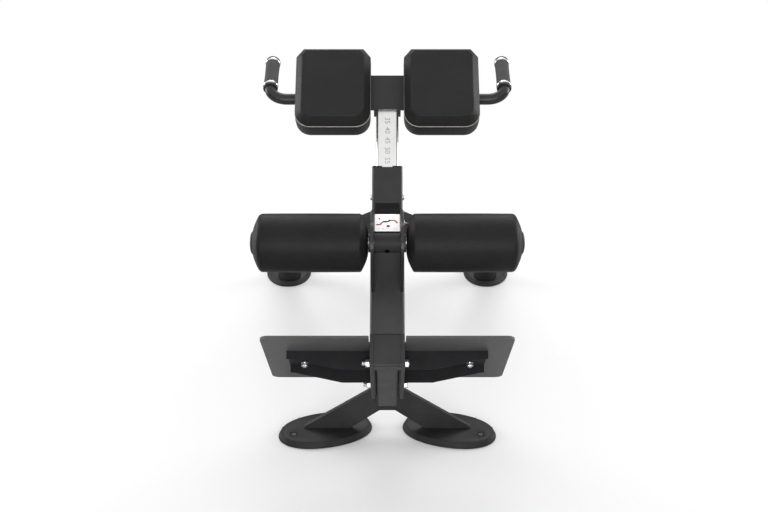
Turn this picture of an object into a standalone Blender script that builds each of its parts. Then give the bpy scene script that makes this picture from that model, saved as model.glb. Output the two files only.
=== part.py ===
"""Hyperextension bench: 45 degree frame, sliding hip pads, leg rollers, footplate.

Metres, +Z up, X across the bench, +Y from the foot end to the head end.
Sloping pieces are built in the beam's own frame: x across, y up the beam,
z square to its top face.
"""
import math

import bmesh
import bpy
from mathutils import Matrix, Vector

# ---------------------------------------------------------------- dimensions
SLOPE = math.radians(45.0)
DY = -0.0176                            # puts the origin at the middle of the footprint
BEAM_FOOT = (0.0, -0.6695 + DY, 0.3563) # lower end of the beam's top face
BEAM_W, BEAM_H, BEAM_R, BEAM_T = 0.0726, 0.120, 0.008, 0.0025
BEAM_S0, BEAM_S1 = 0.0688, 0.3495
SLEEVE_W, SLEEVE_TOP, SLEEVE_BOT, SLEEVE_T = 0.0670, -0.0028, -0.0885, 0.0032
SLEEVE_S0, SLEEVE_S1 = 0.130, 0.4533
TUBE_W, TUBE_TOP, TUBE_BOT, TUBE_T = 0.0500, -0.0097, -0.0823, 0.0030
TUBE_S0, TUBE_S1 = 0.205, 0.672
HOLE_PITCH, LOCK_S, LOCK_N = 0.020, 0.328, -0.0195
PLATE_T = 0.0078                        # lower side plates
YOKE_X, YOKE_T = 0.0338, 0.0065         # roller side plates
AXLE_S, AXLE_N, AXLE_R = 0.219, 0.130, 0.010
PAD_X, PAD_W, PAD_S0, PAD_S1 = 0.1205, 0.166, 0.530, 0.723
PAD_TOP, PAD_RIM = 0.065, 0.048
FOOT_A, FOOT_B = 0.1152, 0.0706         # half axes of the oval feet
FOOT_H = 0.0145
GAP = 0.0003                            # between pieces that touch

for old in list(bpy.data.objects):
    bpy.data.objects.remove(old, do_unlink=True)


def collection(name):
    col = bpy.data.collections.get(name) or bpy.data.collections.new(name)
    if name not in bpy.context.scene.collection.children:
        bpy.context.scene.collection.children.link(col)
    return col


PARTS = collection("hyperextension_bench")
CUTTERS = collection("cutters")


# ---------------------------------------------------------------- materials
def material(name, colour, rough, metal):
    m = bpy.data.materials.new(name)
    m.use_nodes = True
    b = m.node_tree.nodes["Principled BSDF"]
    b.inputs["Base Color"].default_value = (*colour, 1.0)
    b.inputs["Roughness"].default_value = rough
    b.inputs["Metallic"].default_value = metal
    m.diffuse_color = (*colour, 1.0)
    return m


LOOK = {
    "paint": ((0.022, 0.022, 0.024), 0.45, 0.0),
    "chrome": ((0.80, 0.80, 0.81), 0.12, 1.0),
    "leather": ((0.012, 0.012, 0.013), 0.55, 0.0),
    "rubber": ((0.015, 0.015, 0.015), 0.75, 0.0),
    "plastic": ((0.030, 0.030, 0.032), 0.50, 0.0),
    "wood": ((0.42, 0.28, 0.15), 0.70, 0.0),
    "label": ((0.010, 0.010, 0.011), 0.35, 0.0),
    "card": ((0.80, 0.79, 0.77), 0.40, 0.0),
    "red": ((0.55, 0.03, 0.02), 0.40, 0.0),
}

slope = bpy.data.objects.new("slope_frame", None)
slope.location = BEAM_FOOT
slope.rotation_euler = (SLOPE, 0.0, 0.0)
PARTS.objects.link(slope)

carriage_axis = bpy.data.objects.new("carriage_axis", None)
carriage_axis.parent = slope
PARTS.objects.link(carriage_axis)


def add(name, mesh, look, parent=None, col=None, loc=(0, 0, 0), rot=(0, 0, 0)):
    ob = bpy.data.objects.new(name, mesh)
    ob.location, ob.rotation_euler, ob.parent = loc, rot, parent
    (col or PARTS).objects.link(ob)
    if look:
        mesh.materials.append(material(name + "_finish", *LOOK[look]))
    return ob


def cutter(name, mesh, parent=None, loc=(0, 0, 0), rot=(0, 0, 0)):
    ob = add(name, mesh, None, parent, CUTTERS, loc, rot)
    ob.hide_render = True
    ob.display_type = "WIRE"
    return ob


def boolean(ob, other, operation="DIFFERENCE"):
    mod = ob.modifiers.new("bool", "BOOLEAN")
    mod.operation, mod.solver, mod.object = operation, "EXACT", other
    return ob


def weld(first, *others):
    """Pieces that overlap the first are joined to it as one body."""
    for ob in others:
        if ob.name in PARTS.objects:
            PARTS.objects.unlink(ob)
            CUTTERS.objects.link(ob)
        ob.hide_render, ob.display_type = True, "WIRE"
        boolean(first, ob, "UNION")
    return first


def smooth(ob, angle=35.0):
    ob.data.shade_smooth()
    ob.data.set_sharp_from_angle(angle=math.radians(angle))
    return ob


# ---------------------------------------------------------------- shapes
def box_mesh(name, lo, hi, radius=0.0, along=None, segments=3, open_ends=False):
    """A block from lo to hi; edges along one axis (or all) may be rounded."""
    bm = bmesh.new()
    bmesh.ops.create_cube(bm, size=1.0)
    size = Vector(hi) - Vector(lo)
    mid = (Vector(hi) + Vector(lo)) / 2
    bmesh.ops.scale(bm, vec=size, verts=bm.verts)
    bmesh.ops.translate(bm, vec=mid, verts=bm.verts)
    if radius:
        picked = []
        for e in bm.edges:
            d = (e.verts[0].co - e.verts[1].co).normalized()
            if along is None or abs(d[along]) > 0.9:
                picked.append(e)
        bmesh.ops.bevel(bm, geom=picked, offset=radius, segments=segments,
                        profile=0.5, affect="EDGES", clamp_overlap=True)
    if open_ends:
        ends = [f for f in bm.faces if abs(f.normal[along]) > 0.9]
        bmesh.ops.delete(bm, geom=ends, context="FACES")
    me = bpy.data.meshes.new(name)
    bm.to_mesh(me)
    bm.free()
    return me


def box(name, lo, hi, look, parent=None, radius=0.0, along=None, segments=2):
    return smooth(add(name, box_mesh(name, lo, hi, radius, along, segments), look, parent))


def tube(name, lo, hi, radius, wall, look, parent=None, segments=3):
    """Rectangular tube along y, open at both ends."""
    me = box_mesh(name, lo, hi, radius, 1, segments, open_ends=True)
    ob = add(name, me, look, parent)
    mod = ob.modifiers.new("wall", "SOLIDIFY")
    mod.thickness, mod.offset, mod.use_even_offset = wall, -1.0, True
    return smooth(ob)


def cyl_mesh(name, axis, centre, r, a, b, segments=24):
    """Cylinder from a to b along an axis, centred on the other two values."""
    bm = bmesh.new()
    bmesh.ops.create_cone(bm, cap_ends=True, segments=segments,
                          radius1=r, radius2=r, depth=b - a)
    if axis == 0:
        bmesh.ops.rotate(bm, cent=(0, 0, 0), matrix=Matrix.Rotation(math.pi / 2, 3, "Y"), verts=bm.verts)
        off = ((a + b) / 2, centre[0], centre[1])
    elif axis == 1:
        bmesh.ops.rotate(bm, cent=(0, 0, 0), matrix=Matrix.Rotation(-math.pi / 2, 3, "X"), verts=bm.verts)
        off = (centre[0], (a + b) / 2, centre[1])
    else:
        off = (centre[0], centre[1], (a + b) / 2)
    bmesh.ops.translate(bm, vec=off, verts=bm.verts)
    me = bpy.data.meshes.new(name)
    bm.to_mesh(me)
    bm.free()
    return me


def rounded(points, steps=5):
    """Outline with corner radii: points are (u, v, radius)."""
    out = []
    n = len(points)
    for i, (u, v, r) in enumerate(points):
        p = Vector((u, v))
        if r <= 0:
            out.append(p)
            continue
        a = Vector(points[i - 1][:2])
        b = Vector(points[(i + 1) % n][:2])
        da, db = (a - p).normalized(), (b - p).normalized()
        half = da.angle(db) / 2
        t = r / math.tan(half)
        centre = p + (da + db).normalized() * (r / math.sin(half))
        s, e = p + da * t - centre, p + db * t - centre
        total = s.angle_signed(e)
        for k in range(steps + 1):
            ang = -total * k / steps
            out.append(centre + Vector((s.x * math.cos(ang) - s.y * math.sin(ang),
                                        s.x * math.sin(ang) + s.y * math.cos(ang))))
    return out


def outline_mesh(name, loops, half):
    """Flat plate from outlines in xy (the first is outer), 2*half thick in z."""
    cu = bpy.data.curves.new(name, "CURVE")
    cu.dimensions, cu.fill_mode, cu.extrude = "2D", "BOTH", half
    for pts in loops:
        sp = cu.splines.new("POLY")
        sp.points.add(len(pts) - 1)
        for q, p in zip(sp.points, pts):
            q.co = (p[0], p[1], 0.0, 1.0)
        sp.use_cyclic_u = True
    ob = bpy.data.objects.new(name, cu)
    CUTTERS.objects.link(ob)
    bpy.context.view_layer.update()
    dg = bpy.context.evaluated_depsgraph_get()
    me = bpy.data.meshes.new_from_object(ob.evaluated_get(dg))
    bpy.data.objects.remove(ob, do_unlink=True)
    bm = bmesh.new()
    bm.from_mesh(me)
    bmesh.ops.remove_doubles(bm, verts=bm.verts, dist=1e-6)
    bmesh.ops.dissolve_limit(bm, angle_limit=math.radians(0.5), verts=bm.verts, edges=bm.edges)
    bmesh.ops.recalc_face_normals(bm, faces=bm.faces)
    bm.to_mesh(me)
    bm.free()
    me.name = name
    return me


YZ = Matrix(((0, 0, 1), (1, 0, 0), (0, 1, 0))).to_4x4()    # (u, v, t) -> (t, u, v)
XZ = Matrix(((1, 0, 0), (0, 0, -1), (0, 1, 0))).to_4x4()   # (u, v, t) -> (u, -t, v)


def plate(name, loops, thickness, look, parent=None, turn=None, loc=(0, 0, 0), rot=(0, 0, 0)):
    me = outline_mesh(name, loops, thickness / 2)
    if turn is not None:
        me.transform(turn)
    return smooth(add(name, me, look, parent, None, loc, rot))


def circle(u, v, r, n=20):
    return [Vector((u + r * math.cos(2 * math.pi * k / n), v + r * math.sin(2 * math.pi * k / n)))
            for k in range(n)]


def turned(name, profile, look, parent=None, loc=(0, 0, 0), rot=(0, 0, 0), steps=32, closed=False):
    """Turned piece about its own z; the profile (r, z) runs down the outer side."""
    me = bpy.data.meshes.new(name)
    bm = bmesh.new()
    vs = [bm.verts.new((r, 0.0, z)) for r, z in profile]
    for a, b in zip(vs, vs[1:]):
        bm.edges.new((a, b))
    if closed:
        bm.edges.new((vs[-1], vs[0]))
    bm.to_mesh(me)
    bm.free()
    ob = add(name, me, look, parent, None, loc, rot)
    mod = ob.modifiers.new("turn", "SCREW")
    mod.axis, mod.angle = "Z", 2 * math.pi
    mod.steps = mod.render_steps = steps
    mod.use_merge_vertices, mod.merge_threshold = True, 0.00001
    mod.use_smooth_shade = True
    return ob


def arc(cx, cz, r, a0, a1, n):
    return [(cx + r * math.cos(math.radians(a0 + (a1 - a0) * k / n)),
             cz + r * math.sin(math.radians(a0 + (a1 - a0) * k / n))) for k in range(n + 1)]


# ---------------------------------------------------------------- beam
half = BEAM_W / 2
beam = tube("main_beam", (-half, BEAM_S0, -BEAM_H), (half, BEAM_S1, 0.0),
            BEAM_R, BEAM_T, "paint", slope, 4)
hs = SLEEVE_W / 2
sleeve = tube("sleeve_tube", (-hs, SLEEVE_S0, SLEEVE_BOT), (hs, SLEEVE_S1, SLEEVE_TOP),
              0.0055, SLEEVE_T, "paint", slope)
# the plate that closes the beam's mouth under the sleeve is welded in
weld(beam, cutter("join_mouth", box_mesh("join_mouth", (-half + BEAM_T - 0.001, BEAM_S1 - 0.004, -BEAM_H + BEAM_T - 0.001),
                                         (half - BEAM_T + 0.001, BEAM_S1 - 0.0005, SLEEVE_BOT - GAP)), slope))

ht = TUBE_W / 2
lock_hole = cutter("cut_lock", cyl_mesh("cut_lock", 0, (LOCK_S, LOCK_N), 0.0044, 0.0262, 0.060, 16), slope)
barrel_hole = cutter("cut_barrel", cyl_mesh("cut_barrel", 0, (LOCK_S, LOCK_N), 0.0063, 0.0316, 0.060, 16), slope)
boolean(sleeve, lock_hole)
boolean(beam, barrel_hole)

liner = add("slide_liner", box_mesh("slide_liner", (-0.0300, 0.4085, -0.0850), (0.0300, 0.4548, -0.0063), 0.0025, 1, 2),
            "plastic", slope)
weld(liner, cutter("join_flange", box_mesh("join_flange", (-hs, 0.4536, SLEEVE_BOT), (hs, 0.4563, SLEEVE_TOP), 0.0055, 1, 3),
                   slope))
boolean(liner, cutter("cut_liner", box_mesh("cut_liner", (-0.0253, 0.39, -0.0826), (0.0253, 0.47, -0.0094), 0.0050, 1, 3),
                      slope))
boolean(liner, cutter("cut_notch", box_mesh("cut_notch", (-0.0115, 0.4537, -0.0200), (0.0115, 0.47, 0.01)), slope))
smooth(liner)

screw_s, screw_n = 0.3966, -0.040
for sgn, tag in ((-1, "l"), (1, "r")):
    a, b = sorted((sgn * 0.0270, sgn * 0.060))
    boolean(sleeve, cutter("cut_screw_" + tag, cyl_mesh("cs" + tag, 0, (screw_s, screw_n), 0.0033, a, b, 12), slope))
for sgn, tag in ((-1, "left"), (1, "right")):
    a, b = sorted((sgn * (hs + GAP), sgn * (hs + 0.0048)))
    c, d = sorted((sgn * 0.0295, sgn * (hs + 0.001)))
    head = smooth(add("sleeve_screw_" + tag, cyl_mesh("h", 0, (screw_s, screw_n), 0.0060, a, b, 16), "chrome", slope))
    weld(head, cutter("join_screw_" + tag, cyl_mesh("s", 0, (screw_s, screw_n), 0.0030, c, d, 12), slope))

box("placard", (-0.0268, 0.2985, GAP), (0.0268, 0.3380, 0.0020), "card", slope, 0.0015, 2, 2)

# ---------------------------------------------------------------- yoke and axle
yoke = rounded([(0.160, GAP, 0.0), (0.3500, GAP, 0.0), (0.2480, 0.1620, 0.030), (0.1900, 0.1620, 0.026)], 6)
for sgn, tag in ((-1, "left"), (1, "right")):
    side = plate("yoke_plate_" + tag, [yoke, circle(AXLE_S, AXLE_N, AXLE_R + 0.002, 24)], YOKE_T, "paint",
                 slope, YZ, (sgn * (YOKE_X - YOKE_T / 2), 0, 0))
    boss = [(0.0195, 0.0378), (0.0195, 0.0333), (0.0140, YOKE_X - YOKE_T), (AXLE_R + GAP, YOKE_X - YOKE_T),
            (AXLE_R + GAP, 0.0378)]
    weld(side, turned("join_boss_" + tag, boss, None, slope, (0, AXLE_S, AXLE_N), (0, sgn * math.pi / 2, 0), 24, True))

inner = YOKE_X - YOKE_T - GAP
turned("axle_sleeve", [(0.020, inner), (0.020, -inner), (AXLE_R + GAP, -inner), (AXLE_R + GAP, inner)],
       "paint", slope, (0, AXLE_S, AXLE_N), (0, math.pi / 2, 0), 28, True)
turned("roller_axle", [(0.0, 0.2660), (AXLE_R - 0.001, 0.2660), (AXLE_R, 0.2650), (AXLE_R, -0.2650),
                       (AXLE_R - 0.001, -0.2660), (0.0, -0.2660)],
       "chrome", slope, (0, AXLE_S, AXLE_N), (0, math.pi / 2, 0), 24)
# ---------------------------------------------------------------- rollers
for sgn, tag in ((-1, "left"), (1, "right")):
    turn = (0, sgn * math.pi / 2, 0)
    at = (0, AXLE_S, AXLE_N)
    foam = [(0.0172, 0.2700), (0.0235, 0.2697), (0.0335, 0.2671), (0.0436, 0.2631), (0.0535, 0.2581), (0.0575, 0.2545),
            (0.0590, 0.2500), (0.0590, 0.0550), (0.0580, 0.0527), (0.0520, 0.0490), (0.0410, 0.0438), (0.0300, 0.0402),
            (0.0210, 0.0383), (0.0172, 0.0383)]
    turned("roller_foam_" + tag, foam, "leather", slope, at, turn, 32, True)
    core = [(0.0168, 0.2690), (0.0168, 0.0386), (AXLE_R + GAP, 0.0386), (AXLE_R + GAP, 0.2690)]
    turned("roller_core_" + tag, core, "plastic", slope, at, turn, 24, True)
    cap = [(0.0, 0.2757), (0.010, 0.2754), (0.017, 0.2741), (0.0215, 0.2722), (0.0228, 0.2704), (0.0, 0.2704)]
    turned("roller_cap_" + tag, cap, "plastic", slope, at, turn, 28)

# ---------------------------------------------------------------- lower bracket and post
bolt_at = ((0.018, -0.044), (0.018, -0.215))
bracket = rounded([(0.0, 0.0, 0.004), (0.0684, 0.0, 0.0), (0.0684, -BEAM_H - GAP, 0.0), (0.150, -BEAM_H - GAP, 0.004),
                   (0.066, -0.294, 0.012), (0.002, -0.294, 0.012)], 4)
for sgn, tag in ((-1, "left"), (1, "right")):
    plate("bracket_plate_" + tag, [bracket] + [circle(s, n, 0.0053, 16) for s, n in bolt_at], PLATE_T,
          "paint", slope, YZ, (sgn * (half - PLATE_T / 2), 0, 0))
web = rounded([(0.0003, -0.0030, 0.004), (0.0684, -0.0030, 0.0), (0.0684, -0.0080, 0.0), (0.0060, -0.0080, 0.0),
               (0.0060, -0.0340, 0.0), (0.0003, -0.0340, 0.0)], 4)
plate("bracket_end_plate", [web], 2 * (half - PLATE_T - GAP), "paint", slope, YZ)

post = tube("base_post", (-0.025, -0.3778, -0.068), (0.025, -0.0125, -0.0085), 0.005, 0.0030, "paint", slope, 3)
# the post runs square to the beam: its own y is the beam's z, its z the beam's -y
post.rotation_euler = (math.pi / 2, 0, 0)
post_cut = cutter("cut_post", box_mesh("cut_post", (-0.1, -0.3667 + DY, -0.1), (0.1, 0.1, 0.6)))
boolean(post, post_cut)
for k, (s, n) in enumerate(bolt_at):
    boolean(post, cutter("cut_bolt_%d" % k, cyl_mesh("cb%d" % k, 0, (s, n), 0.0053, -0.05, 0.05, 16), slope))


def bolt_parts(s, n):
    out = [cyl_mesh("b", 0, (s, n), 0.0050, -0.0533, 0.0390, 12)]
    for a, b, r, k in ((0.0366, 0.0381, 0.0087, 16), (0.0379, 0.0453, 0.0085, 6),
                       (-0.0381, -0.0366, 0.0087, 16), (-0.0463, -0.0379, 0.0085, 6)):
        out.append(cyl_mesh("b", 0, (s, n), r, a, b, k))
    return out


for (s, n), tag in zip(bolt_at, ("upper", "lower")):
    first, *rest = bolt_parts(s, n)
    bolt = smooth(add("through_bolt_" + tag, first, "chrome", slope))
    weld(bolt, *[cutter("join_bolt_%s_%d" % (tag, k), me, slope) for k, me in enumerate(rest)])

# ---------------------------------------------------------------- rear legs and feet
V_Y0, V_Y1 = -0.3664 + DY, -0.3544 + DY
side = [(0.0222, 0.1605, 0.006), (0.0395, 0.1221, 0.010), (0.2009, 0.0192, 0.0), (0.2009, FOOT_H + GAP, 0.0),
        (0.0914, FOOT_H + GAP, 0.0), (0.0187, 0.0655, 0.006)]
vee = rounded(side + [(-x, z, r) for x, z, r in reversed(side)], 3)
plate("rear_leg_plate", [vee], V_Y1 - V_Y0, "paint", None, XZ, (0, (V_Y0 + V_Y1) / 2, 0))


def oval(a, b, n=36, p=2.12):
    out = []
    for k in range(n):
        t = 2 * math.pi * k / n
        c, s = math.cos(t), math.sin(t)
        out.append(Vector((math.copysign(abs(c) ** (2 / p) * a, c), math.copysign(abs(s) ** (2 / p) * b, s))))
    return out


def foot(tag, x, y, angle, hole_x, hole_y):
    """Moulded rubber foot with sloped sides and a steel plate let into its top."""
    rot = (0, 0, math.radians(angle))
    hole = circle(hole_x, hole_y, 0.0078, 16)
    plate(tag[0], [oval(FOOT_A - 0.0083, FOOT_B - 0.0083), hole], FOOT_H - 0.0103, "paint", None, None,
          (x, y, (0.0103 + FOOT_H) / 2), rot)
    bm = bmesh.new()
    rings = [[bm.verts.new((q.x, q.y, z)) for q in oval(FOOT_A - inset, FOOT_B - inset)]
             for inset, z in ((0.0, 0.0), (0.0, 0.0025), (0.0065, FOOT_H), (0.0080, FOOT_H), (0.0080, 0.0100))]
    for low, high in zip(rings, rings[1:]):
        for k in range(len(low)):
            e = (k + 1) % len(low)
            bm.faces.new((low[k], low[e], high[e], high[k]))
    bm.faces.new(rings[0])
    bm.faces.new(rings[-1])
    bmesh.ops.recalc_face_normals(bm, faces=bm.faces)
    me = bpy.data.meshes.new(tag[1])
    bm.to_mesh(me)
    bm.free()
    body = add(tag[1], me, "rubber", None, None, (x, y, 0), rot)
    boolean(body, cutter("cut_" + tag[1], cyl_mesh("cf", 2, (hole_x, hole_y), 0.0078, -0.01, 0.03, 16), None, (x, y, 0), rot))
    smooth(body, 25)


NEAR_Y, FAR_Y = -0.359 + DY, 0.588 + DY
foot(("rear_foot_left", "rear_foot_pad_left"), -0.150, NEAR_Y, 16.35, -0.080, -0.010)
foot(("rear_foot_right", "rear_foot_pad_right"), 0.150, NEAR_Y, -16.35, 0.080, -0.010)
foot(("front_foot_left", "front_foot_pad_left"), -0.316, FAR_Y, 94.5, 0.082, 0.0)
foot(("front_foot_right", "front_foot_pad_right"), 0.316, FAR_Y, -94.5, -0.082, 0.0)

# ---------------------------------------------------------------- front legs
STUB_X, STUB_Y, STUB_R, STUB_TOP = 0.3091, 0.5256 + DY, 0.036, 0.112
LEG_W, LEG_H, LEG_T, LEG_END_Z = 0.058, 0.068, 0.0030, 0.079
ZUP = Vector((0, 0, 1))
for sgn, tag in ((-1, "left"), (1, "right")):
    corner = Vector((sgn * (half + GAP), -0.413 + DY, 0.5986))     # where the leg's outer top edge leaves the beam
    end = Vector((sgn * STUB_X, STUB_Y, LEG_END_Z))
    top = corner.copy()
    for _ in range(12):
        d = (end - top).normalized()
        h = d.cross(ZUP).normalized()
        u = h.cross(d).normalized()
        top = corner + h * (LEG_W / 2) * (1 if h.x * sgn < 0 else -1) - u * (LEG_H / 2)
    start = top - d * 0.10
    m = Matrix((h, d, u)).transposed().to_4x4()
    m.translation = start
    lo, hi = (-LEG_W / 2, 0, -LEG_H / 2), (LEG_W / 2, (end - start).length, LEG_H / 2)
    leg = tube("front_leg_" + tag, lo, hi, 0.010, LEG_T, "paint", None, 4)
    leg.matrix_world = m
    a, b = sorted((sgn * (half + GAP), -sgn * 0.30))
    boolean(leg, cutter("cut_side_" + tag, box_mesh("cut_side_" + tag, (a, -0.4, -BEAM_H - GAP), (b, 0.9, 0.6)), slope))
    a, b = sorted((sgn * 0.0003, -sgn * 0.30))
    boolean(leg, cutter("cut_middle_" + tag, box_mesh("cut_middle_" + tag, (a, -0.4, -0.6), (b, 0.9, 0.5)), slope))
    stub = turned("join_stub_" + tag, [(0.0, STUB_TOP), (STUB_R - 0.003, STUB_TOP), (STUB_R, STUB_TOP - 0.003),
                                       (STUB_R, FOOT_H + GAP), (0.0, FOOT_H + GAP)],
                  None, None, (sgn * STUB_X, STUB_Y, 0), (0, 0, 0), 32)
    weld(leg, stub)

# ---------------------------------------------------------------- footplate
FP_S0, FP_S1 = 0.0485, 0.0535
XN = Matrix(((1, 0, 0), (0, 0, -1), (0, 1, 0))).to_4x4()
fs_x, fs_n = 0.1793, -0.132
for sgn, tag in ((-1, "left"), (1, "right")):
    pts = [(0.0382, 0.0360, 0.003), (0.2613, 0.0360, 0.018), (0.2613, -0.2658, 0.018), (half + GAP, -0.2658, 0.003),
           (half + GAP, -0.0057, 0.0), (0.0382, -0.0057, 0.0)]
    pts = [(sgn * x, n, r) for x, n, r in pts]
    plate("footplate_" + tag, [rounded(pts, 5), circle(sgn * fs_x, fs_n, 0.0038, 12)], FP_S1 - FP_S0, "paint",
          slope, XN, (0, (FP_S0 + FP_S1) / 2, 0))
    # folded channel under it, deeper next to the beam
    bm = bmesh.new()
    bmesh.ops.create_grid(bm, x_segments=3, y_segments=3, size=1.0)
    cols = (half + GAP, 0.0990, 0.2026, 0.2125)
    deep = (0.0397, 0.0397, 0.0175, 0.0165)
    rows = (-0.0553, -0.0553, -0.1644, -0.1644)
    vs = sorted(bm.verts, key=lambda v: (round(v.co.y, 3), round(v.co.x, 3)))
    for j in range(4):
        for i in range(4):
            s = FP_S0 - GAP - (deep[i] if j in (0, 3) else 0.0)
            vs[j * 4 + i].co = (sgn * cols[i], s, rows[j])
    bmesh.ops.recalc_face_normals(bm, faces=bm.faces)
    web_face = [f for f in bm.faces if abs(f.normal.y) > 0.9]
    if web_face[0].normal.y < 0:
        bmesh.ops.reverse_faces(bm, faces=bm.faces)
    me = bpy.data.meshes.new("footplate_channel_" + tag)
    bm.to_mesh(me)
    bm.free()
    ch = add("footplate_channel_" + tag, me, "paint", slope)
    sol = ch.modifiers.new("sheet", "SOLIDIFY")
    sol.thickness, sol.offset, sol.use_even_offset = 0.0027, -1.0, True
    boolean(ch, cutter("cut_fs_" + tag, cyl_mesh("cfs", 1, (sgn * fs_x, fs_n), 0.0038, 0.02, 0.06, 12), slope))
    smooth(ch)
for sgn, tag in ((-1, "left"), (1, "right")):
    screw = smooth(add("footplate_screw_" + tag, cyl_mesh("f", 1, (sgn * fs_x, fs_n), 0.0035, 0.0335, 0.0555, 12),
                       "chrome", slope))
    weld(screw, cutter("join_washer_" + tag, cyl_mesh("f", 1, (sgn * fs_x, fs_n), 0.0075, 0.0436, 0.0452, 16), slope),
         cutter("join_nut_" + tag, cyl_mesh("f", 1, (sgn * fs_x, fs_n), 0.0068, 0.0365, 0.0440, 6), slope),
         cutter("join_head_" + tag, cyl_mesh("f", 1, (sgn * fs_x, fs_n), 0.0080, FP_S1 + GAP, FP_S1 + 0.0028, 20), slope))

# ---------------------------------------------------------------- pad carriage
slide = tube("slide_tube", (-ht, TUBE_S0, TUBE_BOT), (ht, TUBE_S1, TUBE_TOP), 0.0050, TUBE_T, "chrome", carriage_axis)
bmc = bmesh.new()
for k in range(-5, 7):
    part = cyl_mesh("t", 0, (LOCK_S + k * HOLE_PITCH, LOCK_N), 0.0044, 0.0150, 0.0350, 12)
    bmc.from_mesh(part)
holes = bpy.data.meshes.new("lock_holes")
bmc.to_mesh(holes)
bmc.free()
boolean(slide, cutter("cut_lock_holes", holes, carriage_axis))

BAR_TOP, BAR_BOT = -0.0032, TUBE_TOP + GAP
bar = plate("crossbar", [rounded([(-0.193, 0.598, 0.006), (0.193, 0.598, 0.006), (0.193, 0.685, 0.006), (-0.193, 0.685, 0.006)], 3)],
            BAR_TOP - BAR_BOT, "paint", carriage_axis, None, (0, 0, (BAR_TOP + BAR_BOT) / 2))
pb = [(PAD_X, 0.606), (PAD_X, 0.664)]
pb = [(sgn * x, s) for sgn in (-1, 1) for x, s in pb]
for k, (x, s) in enumerate(pb):
    boolean(bar, cutter("cut_pb_%d" % k, cyl_mesh("cpb", 2, (x, s), 0.0033, -0.02, 0.01, 10), carriage_axis))
saddle = rounded([(0.5990, -0.0085, 0.0), (0.672, -0.0085, 0.0), (0.672, -0.060, 0.010), (0.5990, -0.044, 0.006)], 3)
weld(bar, *[plate("join_saddle_%d" % sgn, [saddle], 0.0050, None, carriage_axis, YZ, (sgn * (ht + GAP + 0.0025), 0, 0))
            for sgn in (-1, 1)])

HB_S, HB_N, HB_R = 0.634, BAR_BOT - GAP - 0.0125, 0.0125
BOARD0, BOARD1 = BAR_TOP + GAP, 0.0100
for (x, s), tag in zip(pb, ("left_lower", "left_upper", "right_lower", "right_upper")):
    bolt = smooth(add("pad_bolt_" + tag, cyl_mesh("p", 2, (x, s), 0.0030, BAR_BOT - 0.003, BOARD1 - 0.004, 12),
                      "chrome", carriage_axis))
    weld(bolt, cutter("join_pb_" + tag, cyl_mesh("p", 2, (x, s), 0.0065, BAR_BOT - GAP - 0.0045, BAR_BOT - GAP, 6),
                      carriage_axis))


def pad_outline(inset):
    """Pad seen square to its top, as (x, y, radius) about the pad's centre line."""
    w, s0, s1 = PAD_W / 2 - inset, PAD_S0 + inset, PAD_S1 - inset
    return [(-w, s0, 0.034 - inset), (w, s0, 0.034 - inset), (w, s1 - 0.021, 0.004),
            (w - 0.016, s1, 0.004), (-w + 0.016, s1, 0.004), (-w, s1 - 0.021, 0.004)]


for sgn, tag in ((-1, "left"), (1, "right")):
    cx = sgn * PAD_X
    board = plate("pad_board_" + tag, [rounded([(x + cx, y, r) for x, y, r in pad_outline(0.004)], 4)],
                  BOARD1 - BOARD0, "wood", carriage_axis, None, (0, 0, (BOARD0 + BOARD1) / 2))
    for k, (x, s) in enumerate(pb):
        if x * sgn > 0:
            boolean(board, cutter("cut_bd_%s_%d" % (tag, k),
                                  cyl_mesh("cbd", 2, (x, s), 0.0033, -0.02, BOARD1 - 0.0035, 10), carriage_axis))
    me = outline_mesh("pad_cushion_" + tag, [rounded([(x + cx, y, r) for x, y, r in pad_outline(0.0)], 6)],
                      (PAD_RIM - BOARD1 - GAP) / 2)
    bm = bmesh.new()
    bm.from_mesh(me)
    bmesh.ops.translate(bm, vec=(0, 0, (PAD_RIM + BOARD1 + GAP) / 2), verts=bm.verts)
    topf = [f for f in bm.faces if f.normal.z > 0.9]
    bmesh.ops.dissolve_faces(bm, faces=topf)
    topf = [f for f in bm.faces if f.normal.z > 0.9]
    bmesh.ops.inset_region(bm, faces=topf, thickness=0.012, depth=0.0)
    for v in {v for f in topf for v in f.verts}:
        v.co.z = PAD_TOP
    bm.to_mesh(me)
    bm.free()
    smooth(add("pad_cushion_" + tag, me, "leather", carriage_axis), 25)

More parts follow.
